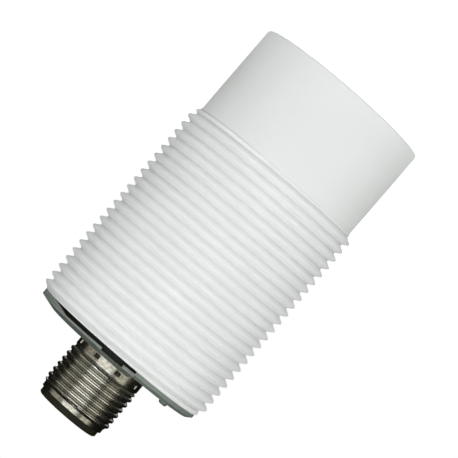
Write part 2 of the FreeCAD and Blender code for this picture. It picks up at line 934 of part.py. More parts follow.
# Indicators
def make_light_guide():
    """Clear rod from the indicator through the cap's face, with a rounded end."""
    body = new_body("light_guide")
    rod = turn(
        body,
        "rod",
        [
            ("0", "guide_start"),
            ("guide_radius", "guide_start"),
            ("guide_radius", "guide_end"),
            ("0", "guide_end"),
        ],
    )
    round_rim(body, rod, "guide_radius", "guide_end", "guide_dome")
    bind(body, ".Placement.Base.x", "-guide_circle")
    return body


def make_output_led():
    """Indicator under the light guide."""
    return block(
        "output_led",
        "led_width",
        "led_length",
        "led_height",
        "-guide_circle - led_width / 2",
        "-led_length / 2",
        "contact_board_end",
    )


def make_power_led():
    """Second indicator, which shines through the cap."""
    return block(
        "power_led",
        "led_width",
        "led_length",
        "led_height",
        "guide_circle * cos(power_led_angle) - led_width / 2",
        "guide_circle * sin(power_led_angle) - led_length",
        "contact_board_end",
    )


# Sensing head
def make_electrode_disc():
    """Centre electrode, flat against the front wall."""
    body = new_body("electrode_disc")
    disc = new_sketch(body, "disc", "XY_Plane", "front_wall")
    draw_circle(disc, ("0", "0"), "electrode_radius")
    pad(body, "disc_pad", disc, "electrode_thickness")
    return body


def make_electrode_ring():
    """Outer electrode, which makes up for dirt on the sensing face."""
    body = new_body("electrode_ring")
    ring = new_sketch(body, "ring", "XY_Plane", "front_wall")
    draw_circle(ring, ("0", "0"), "electrode_ring_radius")
    draw_circle(ring, ("0", "0"), "electrode_ring_inner")
    pad(body, "ring_pad", ring, "electrode_thickness")
    return body


def make_electrode_board():
    """Round board behind the electrodes."""
    body = new_body("electrode_board")
    disc = new_sketch(body, "disc", "XY_Plane", "electrode_back")
    draw_circle(disc, ("0", "0"), "electrode_board_radius")
    pad(body, "disc_pad", disc, "electrode_board_thickness")
    return body


def make_board_spacer():
    """Ring that centres the electrode board in the bore and grips the main board in two lugs."""
    body = new_body("board_spacer")
    ring = new_sketch(body, "ring", "XY_Plane", "electrode_board_back")
    draw_circle(ring, ("0", "0"), "electrode_board_radius")
    draw_circle(ring, ("0", "0"), "spacer_inner")
    pad(body, "ring_pad", ring, "spacer_length")
    lugs = new_sketch(body, "lugs", "XY_Plane", "electrode_board_back")
    for side in ("", "-"):
        ends = [f"{side}(spacer_inner + spacer_wall / 2)", f"{side}(spacer_inner - spacer_lug_reach)"]
        left, right = sorted(ends, key=number)
        draw_rectangle(lugs, left, "-spacer_lug_width / 2", right, "spacer_lug_width / 2")
    pad(body, "lugs_pad", lugs, "spacer_length")
    slot = new_sketch(body, "slot", "XY_Plane", "spacer_end")
    draw_rectangle(
        slot,
        "-board_half_width - board_fit",
        "-board_half_thickness - board_fit",
        "board_half_width + board_fit",
        "board_half_thickness + board_fit",
    )
    pocket(body, "slot_cut", slot, "spacer_length")
    return body


# Parts on the main board
def make_shield_can():
    """Folded sheet can over the oscillator, open towards the board."""
    outer = block(
        "can_outside",
        "can_width",
        "can_height",
        "can_length",
        "-can_width / 2",
        "board_half_thickness",
        "can_start",
    )
    inner = block(
        "can_inside",
        "can_width - 2 * can_sheet",
        "can_height",
        "can_length - 2 * can_sheet",
        "can_sheet - can_width / 2",
        "board_half_thickness - can_sheet",
        "can_start + can_sheet",
    )
    return cut_from("shield_can", outer, inner)


def make_oscillator_chip():
    """Oscillator circuit inside the shield can."""
    return block(
        "oscillator_chip",
        "oscillator_width",
        "oscillator_height",
        "oscillator_length",
        "-oscillator_width / 2",
        "board_half_thickness",
        "oscillator_start",
    )


def make_output_chip():
    """Switching output on the board's other face."""
    return block(
        "output_chip",
        "output_width",
        "output_height",
        "output_length",
        "-output_width / 2",
        "-board_half_thickness - output_height",
        "output_start",
    )


def make_row(label, kind, count, start, side, outwards):
    """A row of alike chips along the board, kept as one node of separate solids."""
    across = f"{side}{kind}_side - {kind}_width / 2"
    depth = "board_half_thickness" if outwards else f"-board_half_thickness - {kind}_height"
    chips = [
        block(
            f"{label}_{index + 1}",
            f"{kind}_width",
            f"{kind}_height",
            f"{kind}_length",
            across,
            depth,
            f"{start} + {index} * {kind}_pitch",
        )
        for index in range(count)
    ]
    return gather(label, chips)


def make_nodes():
    """Builds every node of the sensor, in the order in which it is put together."""
    contacts = [make_contact(index) for index in range(CONTACTS)]
    contact_board = make_contact_board()
    circuit_board = make_circuit_board()
    trimmer_body = make_trimmer_body()
    leds = [make_output_led(), make_power_led()]
    light_guide = make_light_guide()
    embedded = [*contacts, contact_board, circuit_board, trimmer_body, *leds, light_guide]
    capacitor_start = (
        f"capacitor_end - capacitor_length - {CAPACITORS - 1} * capacitor_pitch"
    )
    return [
        make_housing(),
        make_rear_cap(),
        make_cap_gasket(),
        make_connector_sleeve(),
        make_ring_seal(
            "connector_seal",
            "cap_hole - sleeve_seal_thickness / 2",
            "(seal_start + seal_end) / 2",
            "sleeve_seal_thickness / 2",
        ),
        make_contact_carrier(),
        *contacts,
        contact_board,
        circuit_board,
        make_potting(embedded),
        trimmer_body,
        make_trimmer_rotor(),
        make_adjuster_screw(),
        make_adjuster_seal(),
        *leds,
        light_guide,
        make_electrode_disc(),
        make_electrode_ring(),
        make_electrode_board(),
        make_board_spacer(),
        make_shield_can(),
        make_oscillator_chip(),
        make_output_chip(),
        make_row("capacitors", "capacitor", CAPACITORS, capacitor_start, "", True),
        make_row("resistors", "resistor", RESISTORS, "resistor_start", "-", False),
    ]


def check_objects(nodes):
    """Stops on any failed object, and on any node whose shape is empty or invalid."""
    failed = [item.Name for item in document.Objects if {"Invalid", "Error"} & set(item.State)]
    if failed:
        raise RuntimeError("failed objects: " + ", ".join(failed))
    for node in nodes:
        if node.Shape.isNull() or not node.Shape.isValid() or not node.Shape.Solids:
            raise RuntimeError(f"{node.Label} has no valid solid")


fill_sheet()
parts = make_nodes()
document.recompute()
check_objects(parts)
os.makedirs("parts", exist_ok=True)
for part in parts:
    part.Shape.exportStep(f"parts/{part.Label}.step")
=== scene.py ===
"""Looks of a capacitive proximity sensor with an M30 barrel and an M12 plug connector.

The sensor stands on its sensing face, +Z runs from there to the connector, and lengths are in metres.
"""

import json
import logging
import math
from dataclasses import dataclass, field
from enum import Enum
from typing import Iterable, Sequence

import bmesh
import bpy
from mathutils import Matrix, Vector

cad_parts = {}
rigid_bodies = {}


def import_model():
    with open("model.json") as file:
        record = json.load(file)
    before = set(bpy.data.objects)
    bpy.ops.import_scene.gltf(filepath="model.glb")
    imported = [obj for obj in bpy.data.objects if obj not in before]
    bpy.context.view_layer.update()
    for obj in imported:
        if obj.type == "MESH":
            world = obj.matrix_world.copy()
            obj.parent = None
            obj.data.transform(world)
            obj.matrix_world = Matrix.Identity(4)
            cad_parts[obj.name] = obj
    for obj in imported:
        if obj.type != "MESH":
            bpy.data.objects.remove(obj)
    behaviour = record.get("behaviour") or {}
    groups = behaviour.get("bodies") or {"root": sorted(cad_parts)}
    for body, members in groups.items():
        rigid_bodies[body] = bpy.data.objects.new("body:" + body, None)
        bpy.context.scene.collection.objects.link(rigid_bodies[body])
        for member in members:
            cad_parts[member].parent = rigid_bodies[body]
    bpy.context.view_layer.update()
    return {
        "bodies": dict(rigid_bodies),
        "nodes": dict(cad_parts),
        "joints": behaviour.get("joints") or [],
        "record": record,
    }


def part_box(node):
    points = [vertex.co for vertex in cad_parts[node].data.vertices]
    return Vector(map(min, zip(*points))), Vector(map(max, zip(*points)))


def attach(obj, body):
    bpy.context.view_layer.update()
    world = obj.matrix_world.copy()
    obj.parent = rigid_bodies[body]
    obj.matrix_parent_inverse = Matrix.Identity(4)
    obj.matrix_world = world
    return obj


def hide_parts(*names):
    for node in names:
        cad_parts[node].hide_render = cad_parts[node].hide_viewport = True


LOG = logging.getLogger("capacitive_sensor")
SENSOR_BODY = "sensor"
ADJUSTER_BODY = "adjuster"
MM = 0.001
AXIS_Z = Vector((0.0, 0.0, 1.0))
ORIGIN = Vector((0.0, 0.0, 0.0))
FULL_TURN = 2.0 * math.pi
# Vertices nearer than WELD are one; nearer than TOUCH to a plane or a wall, they lie on it
WELD = 1e-6
TOUCH = 4.0 * WELD
# Faces that turn less than this are one flat face
FLAT = math.radians(0.5)
# Edges that turn more than this stay sharp, on plain pieces and on threaded ones
SHARP = math.radians(35.0)
SHARP_IN_THREADS = math.radians(40.0)
# Eased pieces have the edges that turn more than this rounded, in so many steps
EASED = math.radians(32.0)
EASED_STEPS = 3
WHITE = (1.0, 1.0, 1.0)
WARM = (1.0, 0.975, 0.88)

Point = tuple[float, float]
Triple = tuple[float, float, float]
Colour = Triple
Mesh = bmesh.types.BMesh
Piece = bpy.types.Object
Socket = bpy.types.NodeSocket
Inputs = dict[str | int, object]


class Side(Enum):
    """Which side of a wall a lathe section bounds, and so where its faces point."""

    OUTSIDE = 1
    INSIDE = -1


class Reach(Enum):
    """What a lamp does: it lights surfaces, or it only shows in their reflections."""

    FILL = "fill"
    REFLECTIONS = "reflections"


# Finishes


class NodeBoard:
    """The node tree of a material or of the world, with short ways to add and join nodes."""

    def __init__(self, owner: bpy.types.Material | bpy.types.World, output: str) -> None:
        """Clears the owner's node tree down to its output.

        Args:
            owner: The material or the world.
            output: The type name of its output node.
        """
        owner.use_nodes = True
        self.owner = owner
        self.tree = owner.node_tree
        self.tree.nodes.clear()
        self.output = self.tree.nodes.new(output)

    @classmethod
    def of_material(cls, name: str) -> "NodeBoard":
        """The board of a new material."""
        return cls(bpy.data.materials.new(name), "ShaderNodeOutputMaterial")

    def add(self, kind: str, inputs: Inputs, **settings: object) -> bpy.types.Node:
        """Adds a node, sets its properties and fills its inputs.

        Args:
            kind: The node's type name.
            inputs: Sockets to link from and plain values, by the input's name or number.
            settings: Properties of the node, by name.

        Returns:
            The new node.
        """
        node = self.tree.nodes.new(kind)
        for key, value in settings.items():
            setattr(node, key, value)
        for key, value in inputs.items():
            target = node.inputs[key]
            if isinstance(value, Socket):
                self.tree.links.new(value, target)
            else:
                target.default_value = (*value, 1.0) if target.type == "RGBA" else value
        return node

    def show(self, surface: Socket) -> None:
        """Joins a shader to the output."""
        self.tree.links.new(surface, self.output.inputs["Surface"])

    def principled(self, inputs: Inputs) -> None:
        """Adds the surface shader and joins it to the output."""
        self.show(self.add("ShaderNodeBsdfPrincipled", inputs).outputs["BSDF"])

    def glow(self, strength: Socket | float = 1.0, colour: Colour = WHITE) -> Socket:
        """A shader that gives light of its own, of a radiance and a colour."""
        return self.add("ShaderNodeEmission", {"Strength": strength, "Color": colour}).outputs[0]

    def position(self, scale: Triple = (1.0, 1.0, 1.0)) -> Socket:
        """The object's own coordinates, stretched by a scale.

        Args:
            scale: One factor for each axis.

        Returns:
            A vector socket.
        """
        place = self.add("ShaderNodeTexCoord", {}).outputs["Object"]
        mapping = self.add("ShaderNodeMapping", {"Vector": place, "Scale": scale})
        return mapping.outputs["Vector"]

    def height(self) -> Socket:
        """The height in the object's own coordinates."""
        return self.add("ShaderNodeSeparateXYZ", {0: self.position()}).outputs["Z"]

    def from_axis(self) -> Socket:
        """The distance from the object's own Z axis."""
        across = {0: self.position((1.0, 1.0, 0.0))}
        return self.add("ShaderNodeVectorMath", across, operation="LENGTH").outputs["Value"]

    def edges(self, reach: float, likeness: Point = (0.93, 0.998), samples: int = 6) -> Socket:
        """Where an edge is near, told by how like its face's normal a rounded one is.

        Args:
            reach: How far the mark runs from an edge.
            likeness: Up to which likeness the mark is full, and at which it is gone.
            samples: How many directions are tried.

        Returns:
            A socket that is 0 on open faces and rises to 1 beside an edge.
        """
        rounded_off = self.add("ShaderNodeBevel", {"Radius": reach}, samples=samples)
        surface = self.add("ShaderNodeNewGeometry", {})
        normals = {0: rounded_off.outputs["Normal"], 1: surface.outputs["Normal"]}
        product = self.add("ShaderNodeVectorMath", normals, operation="DOT_PRODUCT")
        return self.spread(product.outputs["Value"], 1.0, 0.0, *likeness)

    def seen_directly(self) -> Socket:
        """Which rays see a surface as it looks.

        Returns:
            A socket that is 1 for the camera's rays, in glass and in mirrors, and 0 for the rest.
        """
        path = self.add("ShaderNodeLightPath", {})
        seen = path.outputs["Is Camera Ray"]
        for kind in ("Is Transmission Ray", "Is Glossy Ray"):
            seen = self.combine(seen, path.outputs[kind], "MAXIMUM")
        return seen

    def noise(
        self, where: Socket, size: float, detail: float = 3.0, roughness: float = 0.5
    ) -> Socket:
        """A noise field.

        Args:
            where: The coordinates to read.
            size: The pattern's size in metres.
            detail: How many octaves it has.
            roughness: How strong the finer octaves are.

        Returns:
            The noise's value socket.
        """
        inputs = {"Vector": where, "Scale": 1.0 / size, "Detail": detail, "Roughness": roughness}
        return self.add("ShaderNodeTexNoise", inputs).outputs["Fac"]

    def spread(
        self, value: Socket, low: float, high: float, start: float = 0.3, end: float = 0.7
    ) -> Socket:
        """Maps a value from one range to another, held at its ends.

        Args:
            value: The socket to read.
            low: The result at start.
            high: The result at end.
            start: The value that gives low.
            end: The value that gives high.

        Returns:
            The mapped value's socket.
        """
        inputs = {"Value": value, "From Min": start, "From Max": end, "To Min": low, "To Max": high}
        return self.add("ShaderNodeMapRange", inputs).outputs["Result"]

    def blend(self, factor: Socket, first: Socket | Colour, second: Colour) -> Socket:
        """A colour between two, by a factor.

        Args:
            factor: 0 gives the first colour and 1 the second.
            first: A linked colour, or a plain one.
            second: A plain colour.

        Returns:
            The colour's socket.
        """
        inputs = {"Factor": factor, "A": first, "B": second}
        return self.add("ShaderNodeMix", inputs, data_type="RGBA").outputs["Result"]

    def combine(self, first: Socket, second: Socket, operation: str = "MULTIPLY") -> Socket:
        """Two values put together by an operation of the Math node."""
        pair = {0: first, 1: second}
        return self.add("ShaderNodeMath", pair, operation=operation).outputs["Value"]

    def bump(self, height: Socket, depth: float, under: Socket | None = None) -> Socket:
        """A bumped normal.

        Args:
            height: The height field, from 0 to 1.
            depth: The height in metres of a value of 1.
            under: A normal to bump further, if any.

        Returns:
            The normal's socket.
        """
        inputs = {"Height": height, "Distance": depth}
        if under is not None:
            inputs["Normal"] = under
        return self.add("ShaderNodeBump", inputs).outputs["Normal"]


@dataclass(frozen=True)
class Finish:
    """One surface of the sensor."""

    name: str

    def inputs(self, board: NodeBoard) -> Inputs:
        """What the surface shader takes in, which each kind of finish says for itself."""
        raise NotImplementedError(self.name)

    def build(self) -> bpy.types.Material:
        """Makes the material.

        Returns:
            The material.
        """
        board = NodeBoard.of_material(self.name)
        board.principled(self.inputs(board))
        return board.owner


@dataclass(frozen=True)
class MachinedPlastic(Finish):
    """Turned white fluoropolymer: satin, a little light goes into it, faint tool lines round it."""

    name: str = "machined_white_plastic"
    colour: Colour = (0.850, 0.868, 0.860)
    shade: Colour = (0.800, 0.818, 0.808)
    cloud_size: float = 9.0 * MM
    # Painted shade lies in the thread's grooves, full at the first radius and gone at the second.
    # The head is thinner than the thread, so it has a share of its own.
    groove_shade: Colour = (0.66, 0.68, 0.665)
    groove_shade_reach: Point = (14.1 * MM, 14.95 * MM)
    groove_shade_share: float = 0.52
    head_share: float = 0.66
    head_end: Point = (14.8 * MM, 15.2 * MM)
    speck: Colour = (0.55, 0.56, 0.52)
    speck_size: float = 0.55 * MM
    speck_share: float = 0.22
    speck_range: Point = (0.70, 0.80)
    roughness: Point = (0.52, 0.66)
    smear_size: float = 2.5 * MM
    smear_scale: Triple = (1.0, 1.0, 6.0)
    tool_scale: Triple = (0.004, 0.004, 1.0)
    tool_pitch: float = 0.16 * MM
    tool_depth: float = 0.0035 * MM
    grain_size: float = 0.12 * MM
    glow: float = 0.35
    glow_radius: Triple = (1.0, 1.0, 0.95)
    glow_depth: float = 0.7 * MM
    ior: float = 1.38

    def inputs(self, board: NodeBoard) -> Inputs:
        """What the surface shader takes in.

        Args:
            board: The material's board.

        Returns:
            Its inputs, by name.
        """
        place = board.position()
        clouds = board.noise(place, self.cloud_size, detail=4.0)
        clean = board.blend(board.spread(clouds, 0.0, 1.0), self.shade, self.colour)
        # Painted shade in the thread's grooves; the head takes a share of the same darker colour
        share = board.spread(board.height(), self.head_share, self.groove_shade_share, *self.head_end)
        deep = board.spread(board.from_axis(), 1.0, 0.0, *self.groove_shade_reach)
        groove_shaded = board.blend(board.combine(deep, share), clean, self.groove_shade)
        specks = board.noise(place, self.speck_size, detail=2.0)
        specks = board.spread(specks, 0.0, self.speck_share, *self.speck_range)
        smears = board.noise(board.position(self.smear_scale), self.smear_size)
        lines = board.noise(board.position(self.tool_scale), self.tool_pitch, detail=1.0)
        grain = board.noise(place, self.grain_size, detail=2.0)
        return {
            "Base Color": board.blend(specks, groove_shaded, self.speck),
            "Roughness": board.spread(smears, *self.roughness),
            "Normal": board.bump(grain, self.tool_depth, board.bump(lines, self.tool_depth)),
            "Subsurface Weight": self.glow,
            "Subsurface Radius": self.glow_radius,
            "Subsurface Scale": self.glow_depth,
            "IOR": self.ior,
        }


@dataclass(frozen=True)
class MouldedPlastic(Finish):
    """Moulded plastic with a fine spark-eroded grain, scuffed a little on its raised parts, and a
    painted highlight along its edges where asked.
    """

    colour: Colour
    shade: Colour
    roughness: float = 0.45
    cloud_size: float = 4.0 * MM
    glow: float = 0.0
    glow_radius: Triple = (0.8, 1.0, 0.8)
    glow_depth: float = 0.8 * MM
    gloss: float = 0.5
    grain: float = 0.09 * MM
    grain_depth: float = 0.004 * MM
    scuff_and_highlight: Colour = (0.35, 0.37, 0.34)
    scuff_share: float = 0.18
    scuff_range: Point = (0.58, 0.75)
    # What it adds to the roughness, from least to most
    scuff_rough: Point = (-0.05, 0.12)
    mark_size: float = 0.8 * MM
    mark_scale: Triple = (1.0, 1.0, 2.5)
    # Painted highlight along the edges, in the colour of the scuffs
    edge_highlight_share: float = 0.0
    edge_highlight_range: Point = (0.35, 0.65)
    edge_highlight_reach: float = 0.15 * MM

    def inputs(self, board: NodeBoard) -> Inputs:
        """What the surface shader takes in.

        Args:
            board: The material's board.

        Returns:
            Its inputs, by name.
        """
        place = board.position()
        clouds = board.noise(place, self.cloud_size, detail=4.0)
        coat = board.blend(board.spread(clouds, 0.0, 1.0), self.shade, self.colour)
        stretched = board.position(self.mark_scale)
        marks = board.noise(stretched, self.mark_size, detail=5.0, roughness=0.7)
        worn = board.spread(marks, 0.0, self.scuff_share, *self.scuff_range)
        coat = board.blend(worn, coat, self.scuff_and_highlight)
        # Painted highlight along the edges, uneven along them
        if self.edge_highlight_share:
            least = 0.5 * self.edge_highlight_share
            uneven = board.spread(marks, least, self.edge_highlight_share, *self.edge_highlight_range)
            edge_highlight = board.combine(board.edges(self.edge_highlight_reach), uneven)
            coat = board.blend(edge_highlight, coat, self.scuff_and_highlight)
        rough = board.spread(marks, *(self.roughness + change for change in self.scuff_rough))
        return {
            "Base Color": coat,
            "Roughness": rough,
            "Normal": board.bump(board.noise(place, self.grain, detail=2.0), self.grain_depth),
            "Subsurface Weight": self.glow,
            "Subsurface Radius": self.glow_radius,
            "Subsurface Scale": self.glow_depth,
            "Specular IOR Level": self.gloss,
        }


@dataclass(frozen=True)
class PlatedMetal(Finish):
    """Turned and plated metal: tool lines round the axis, a dim bloom and darker soil in patches."""

    colour: Colour
    bloom: Colour
    soil: Colour
    roughness: float = 0.2
    soil_share: float = 0.35
    soil_range: Point = (0.5, 0.72)
    # What soil and clouds add to the roughness, from least to most
    soil_rough: Point = (-0.04, 0.14)
    cloud_rough: Point = (-0.02, 0.03)
    cloud_size: float = 1.6 * MM
    patch_size: float = 0.45 * MM
    tool_scale: Triple = (0.01, 0.01, 1.0)
    tool_pitch: float = 0.06 * MM
    tool_depth: float = 0.0012 * MM
    grain_size: float = 0.1 * MM
    grain_depth: float = 0.002 * MM

    def inputs(self, board: NodeBoard) -> Inputs:
        """What the surface shader takes in.

        Args:
            board: The material's board.

        Returns:
            Its inputs, by name.
        """
        place = board.position()
        clouds = board.noise(place, self.cloud_size, detail=5.0, roughness=0.6)
        base = board.blend(board.spread(clouds, 0.0, 1.0), self.bloom, self.colour)
        patches = board.noise(place, self.patch_size, detail=4.0, roughness=0.65)
        soiled_and_shaded = board.spread(patches, 0.0, self.soil_share, *self.soil_range)
        rough = board.spread(patches, *(self.roughness + change for change in self.soil_rough))
        lines = board.noise(board.position(self.tool_scale), self.tool_pitch, detail=2.0)
        cut = board.bump(lines, self.tool_depth)
        return {
            "Base Color": self.with_painted_shade(board, board.blend(soiled_and_shaded, base, self.soil), patches),
            "Roughness": board.combine(rough, board.spread(clouds, *self.cloud_rough), "ADD"),
            "Normal": board.bump(board.noise(place, self.grain_size), self.grain_depth, cut),
            "Metallic": 1.0,
        }

    def with_painted_shade(self, board: NodeBoard, coat: Socket, patches: Socket) -> Socket:
        """The coat's colour with its painted shade, of which plain plating has none."""
        return coat


@dataclass(frozen=True)
class ShadedPlating(PlatedMetal):
    """Plating of a threaded sleeve: painted shade on the plain bands past the thread and in the
    hollows.
    """

    # The threaded stretch, and over what length the plain bands past it begin
    thread_zone: Point = (52.2 * MM, 59.2 * MM)
    zone_edge: float = 0.1 * MM
    # Painted shade on the plain bands past the thread, uneven along them
    band_shade: Colour = (0.30, 0.29, 0.235)
    band_shade_share: Point = (0.45, 0.95)
    band_shade_range: Point = (0.35, 0.65)
    # Painted shade in the hollows is full at the first radius and gone at the second
    groove_shade: Colour = (0.028, 0.025, 0.017)
    groove_shade_reach: Point = (5.42 * MM, 5.68 * MM)
    groove_shade_share: float = 0.9

    def with_painted_shade(self, board: NodeBoard, coat: Socket, patches: Socket) -> Socket:
        """The coat's colour, with painted shade on the plain bands and in the hollows.

        Args:
            board: The material's board.
            coat: The clean coat's colour.
            patches: A noise field that makes the bands uneven.

        Returns:
            The colour's socket.
        """
        low, high = self.thread_zone
        height = board.height()
        # Painted shade on the collar and the end band, uneven along them
        end_band = board.spread(height, 0.0, 1.0, high, high + self.zone_edge)
        collar = board.spread(height, 1.0, 0.0, low - self.zone_edge, low)
        uneven = board.spread(patches, *self.band_shade_share, *self.band_shade_range)
        band_shaded = board.combine(board.combine(end_band, collar, "ADD"), uneven)
        coat = board.blend(band_shaded, coat, self.band_shade)
        # Painted shade in the thread's hollows; the end band is thinner than the thread and gets none
        hollow = board.spread(board.from_axis(), self.groove_shade_share, 0.0, *self.groove_shade_reach)
        soiled_and_shaded = board.combine(hollow, board.spread(end_band, 1.0, 0.0, 0.0, 1.0))
        return board.blend(soiled_and_shaded, coat, self.groove_shade)


@dataclass(frozen=True)
class BoardLaminate(Finish):
    """Green coated glass-fibre board: the cloth's weave shows faintly through the coat."""

    name: str = "board_laminate"
    colour: Colour = (0.02, 0.17, 0.06)
    weave_colour: Colour = (0.035, 0.23, 0.09)
    weave: float = 0.4 * MM
    weave_depth: float = 0.004 * MM
    roughness: float = 0.3
    coat: float = 0.4
    coat_roughness: float = 0.15

    def inputs(self, board: NodeBoard) -> Inputs:
        """What the surface shader takes in.

        Args:
            board: The material's board.

        Returns:
            Its inputs, by name.
        """
        size = {"Vector": board.position(), "Scale": 1.0 / (3.0 * self.weave)}
        across, along = (
            board.add("ShaderNodeTexWave", size, bands_direction=axis).outputs["Fac"]
            for axis in ("X", "Z")
        )
        cloth = board.combine(across, along)
        return {
            "Base Color": board.blend(cloth, self.colour, self.weave_colour),
            "Roughness": self.roughness,
            "Normal": board.bump(cloth, self.weave_depth),
            "Coat Weight": self.coat,
            "Coat Roughness": self.coat_roughness,
        }


@dataclass(frozen=True)
class ClearRod(Finish):
    """Smoky moulded plastic that lets the indicator's light through, cloudy inside."""

    name: str = "clear_rod"
    colour: Colour = (0.20, 0.23, 0.20)
    shade: Colour = (0.12, 0.14, 0.12)
    haze_size: float = 0.5 * MM
    roughness: Point = (0.10, 0.24)
    clear_share: float = 0.25
    ior: float = 1.49

    def inputs(self, board: NodeBoard) -> Inputs:
        """What the surface shader takes in.

        Args:
            board: The material's board.

        Returns:
            Its inputs, by name.
        """
        haze = board.noise(board.position(), self.haze_size)
        return {
            "Base Color": board.blend(board.spread(haze, 0.0, 1.0), self.shade, self.colour),
            "Roughness": board.spread(haze, *self.roughness),
            "Transmission Weight": self.clear_share,
            "IOR": self.ior,
        }


FINISHES = {
    "white_plastic": MachinedPlastic(),
    # The cap has a painted highlight along its edges
    "cap_plastic": MouldedPlastic(
        "cap_plastic", (0.185, 0.215, 0.188), (0.135, 0.160, 0.138),
        roughness=0.42, glow=0.12, edge_highlight_share=0.6,
    ),
    "black_rubber": MouldedPlastic(
        "black_rubber", (0.008, 0.008, 0.007), (0.005, 0.005, 0.004),
        roughness=0.6, gloss=0.2, scuff_and_highlight=(0.02, 0.02, 0.018),
    ),
    "nickel": ShadedPlating(
        "plated_nickel", (0.76, 0.75, 0.68), (0.66, 0.645, 0.56), (0.17, 0.155, 0.105),
        roughness=0.22, soil_share=0.12,
    ),
    "black_plastic": MouldedPlastic(
        "black_plastic", (0.015, 0.0145, 0.007), (0.009, 0.0085, 0.0045),
        roughness=0.48, gloss=0.15, scuff_and_highlight=(0.03, 0.03, 0.018),
    ),
    "gold": PlatedMetal(
        "gold_plating", (0.95, 0.70, 0.30), (0.85, 0.60, 0.25), (0.45, 0.28, 0.10), soil_share=0.12
    ),
    "board_laminate": BoardLaminate(),
    "black_resin": MouldedPlastic(
        "black_resin", (0.014, 0.014, 0.014), (0.008, 0.008, 0.008),
        roughness=0.22, scuff_and_highlight=(0.04, 0.04, 0.04),
    ),
    "trimmer_plastic": MouldedPlastic("trimmer_plastic", (0.03, 0.12, 0.45), (0.02, 0.09, 0.36)),
    "adjuster_brass": PlatedMetal(
        "turned_brass", (0.80, 0.60, 0.28), (0.68, 0.48, 0.20), (0.25, 0.15, 0.06), roughness=0.26
    ),
    "led_yellow": MouldedPlastic("led_yellow", (0.80, 0.55, 0.06), (0.70, 0.45, 0.04), glow=0.2),
    "led_green": MouldedPlastic("led_green", (0.10, 0.55, 0.14), (0.07, 0.45, 0.10), glow=0.2),
    "clear_plastic": ClearRod(),
    "copper": PlatedMetal(
        "copper_foil", (0.88, 0.50, 0.36), (0.75, 0.40, 0.27), (0.30, 0.14, 0.08), roughness=0.3
    ),
    "tinned_steel": PlatedMetal(
        "tinned_steel", (0.74, 0.74, 0.73), (0.60, 0.60, 0.60), (0.30, 0.29, 0.27), roughness=0.34
    ),
    "chip_plastic": MouldedPlastic("chip_plastic", (0.03, 0.03, 0.034), (0.02, 0.02, 0.023)),
    "ceramic": MouldedPlastic("ceramic", (0.48, 0.36, 0.22), (0.40, 0.29, 0.17), roughness=0.35),
}


@dataclass
class Wardrobe:
    """Makes each finish once and gives it to the pieces that ask for it."""

    made: dict[str, bpy.types.Material] = field(default_factory=dict)

    def finish(self, slot: str) -> bpy.types.Material:
        """The material of one of the record's slots.

        Args:
            slot: The slot's name.

        Returns:
            The material, the same one each time.
        """
        if slot not in self.made:
            self.made[slot] = FINISHES[slot].build()
        return self.made[slot]

    def dress(self, piece: Piece, slot: str) -> None:
        """Puts a slot's material on a whole piece."""
        piece.data.materials.clear()
        piece.data.materials.append(self.finish(slot))


# Mesh tools


def draw(mesh: Mesh, section: Sequence[Point]) -> list:
    """A section drawn in the plane of X and Z, as vertices and edges."""
    line = [mesh.verts.new((radius, 0.0, height)) for radius, height in section]
    return line + [mesh.edges.new(pair) for pair in zip(line, line[1:])]


def turned_part(section: Sequence[Point], steps: int, side: Side) -> Mesh:
    """Turns an open section about Z.

    Args:
        section: Radius and height pairs, from the low end to the high end.
        steps: How many flat faces a full turn has.
        side: Whether the section bounds the outside or the inside of a wall.

    Returns:
        The new mesh.
    """
    mesh = bmesh.new()
    bmesh.ops.spin(
        mesh,
        geom=draw(mesh, section if side is Side.OUTSIDE else section[::-1]),
        cent=ORIGIN, axis=AXIS_Z, angle=FULL_TURN, steps=steps, use_merge=True,
    )
    bmesh.ops.remove_doubles(mesh, verts=mesh.verts, dist=WELD)
    return mesh


def open_rim(mesh: Mesh, height: float) -> list[bmesh.types.BMEdge]:
    """The open edges of a mesh at a height.

    Args:
        mesh: The mesh.
        height: The height.

    Returns:
        The edges.
    """
    return [
        edge
        for edge in mesh.edges
        if edge.is_boundary and all(abs(vertex.co.z - height) < TOUCH for vertex in edge.verts)
    ]


def graft(mesh: Mesh, part: Mesh, at: float, rim_at: float) -> None:
    """Adds a turned part to a mesh and bridges its open rim to the mesh's own.

    Args:
        mesh: The mesh that grows.
        part: The part, which is freed.
        at: The height of the mesh's open rim.
        rim_at: The height of the part's open rim.
    """
    own_rim = open_rim(mesh, at)
    known = set(mesh.edges)
    scratch = bpy.data.meshes.new("part")
    part.to_mesh(scratch)
    part.free()
    mesh.from_mesh(scratch)
    bpy.data.meshes.remove(scratch)
    new_rim = [edge for edge in open_rim(mesh, rim_at) if edge not in known]
    bmesh.ops.bridge_loops(mesh, edges=own_rim + new_rim)


def soften(section: Sequence[Point], radii: dict[int, float], steps: int = 4) -> list[Point]:
    """Rounds some corners of a section.

    Args:
        section: Radius and height pairs.
        radii: How far from a corner its arc starts on each side, by the corner's index.
        steps: How many pieces each arc has.

    Returns:
        The rounded section.
    """
    result: list[Point] = []
    for index, corner in enumerate(section):
        if index not in radii:
            result.append(corner)
            continue
        middle = Vector(corner)
        start, end = (
            middle + (Vector(section[index + side]) - middle).normalized() * radii[index]
            for side in (-1, 1)
        )
        for step in range(steps + 1):
            share = step / steps
            point = start.lerp(middle, share).lerp(middle.lerp(end, share), share)
            result.append((point.x, point.y))
    return result


